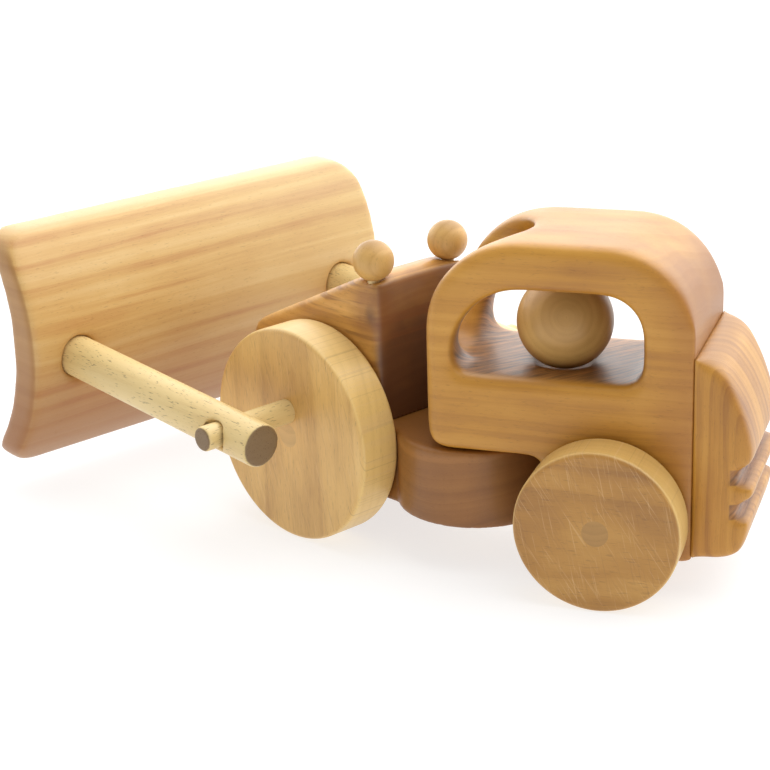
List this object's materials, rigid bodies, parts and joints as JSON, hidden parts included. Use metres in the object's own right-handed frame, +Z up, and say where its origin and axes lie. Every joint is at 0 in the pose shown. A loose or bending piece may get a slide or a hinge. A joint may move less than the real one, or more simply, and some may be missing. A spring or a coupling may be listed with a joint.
{
  "type": "toy tractor",
  "caption": "Wooden toy tractor that steers in the middle, with a round driver in its cab and a curved blade on two arms.",
  "frame": {"origin": "middle of the steered toy's footprint, on the floor", "axes": "+X forwards along the rear section, +Y to its left, +Z up"},
  "size_m": [0.266, 0.1844, 0.1065],
  "materials": {
    "body_wood": "satin",
    "chassis_wood": "satin",
    "blade_wood": "satin",
    "wheel_wood": "satin",
    "dowel_wood": "satin",
    "bead_wood": "satin"
  },
  "bodies": {
    "rear_section": {"cab": "body_wood", "rear_block": "body_wood", "driver_ball": "bead_wood", "pivot_pin": "dowel_wood", "pivot_cap": "chassis_wood"},
    "rear_wheels": {"rear_axle": "dowel_wood", "rear_wheel_left": "wheel_wood", "rear_wheel_right": "wheel_wood"},
    "front_section": {"front_chassis": "chassis_wood", "hood": "body_wood", "headlight_left": "bead_wood", "headlight_right": "bead_wood", "headlight_pin_left": "dowel_wood", "headlight_pin_right": "dowel_wood"},
    "front_wheels": {"front_axle": "dowel_wood", "front_wheel_left": "wheel_wood", "front_wheel_right": "wheel_wood"},
    "crank_pegs": {"crank_peg_left": "dowel_wood", "crank_peg_right": "dowel_wood"},
    "blade_frame": {"arm_left": "dowel_wood", "arm_right": "dowel_wood", "blade": "blade_wood"}
  },
  "joints": [
    {"name": "rear_wheel_spin", "type": "hinge", "parent": "rear_section", "child": "rear_wheels", "pos_m": [-0.08955, 0.04859, 0.025], "axis": [0, 1, 0], "continuous": true},
    {"name": "steering", "type": "hinge", "parent": "rear_section", "child": "front_section", "pos_m": [-0.04255, 0.04859, 0.0155], "axis": [0, 0, 1], "range_deg": [-7.5, 62.5]},
    {"name": "front_wheel_spin", "type": "hinge", "parent": "front_section", "child": "front_wheels", "pos_m": [0.00091, 0.02596, 0.035], "axis": [0.4617, 0.887, 0], "continuous": true},
    {"name": "crank_turn", "type": "hinge", "parent": "front_wheels", "child": "crank_pegs", "pos_m": [0.00091, 0.02596, 0.0432], "axis": [0.4617, 0.887, 0], "continuous": true},
    {"name": "blade_lift", "type": "hinge", "parent": "crank_pegs", "child": "blade_frame", "pos_m": [0.00091, 0.02596, 0.0432], "axis": [-0.4617, -0.887, 0], "range_deg": [-6, 60]}
  ],
  "couplings": [
    {"joint": "crank_turn", "follows": "front_wheel_spin", "ratio": -1}
  ]
}
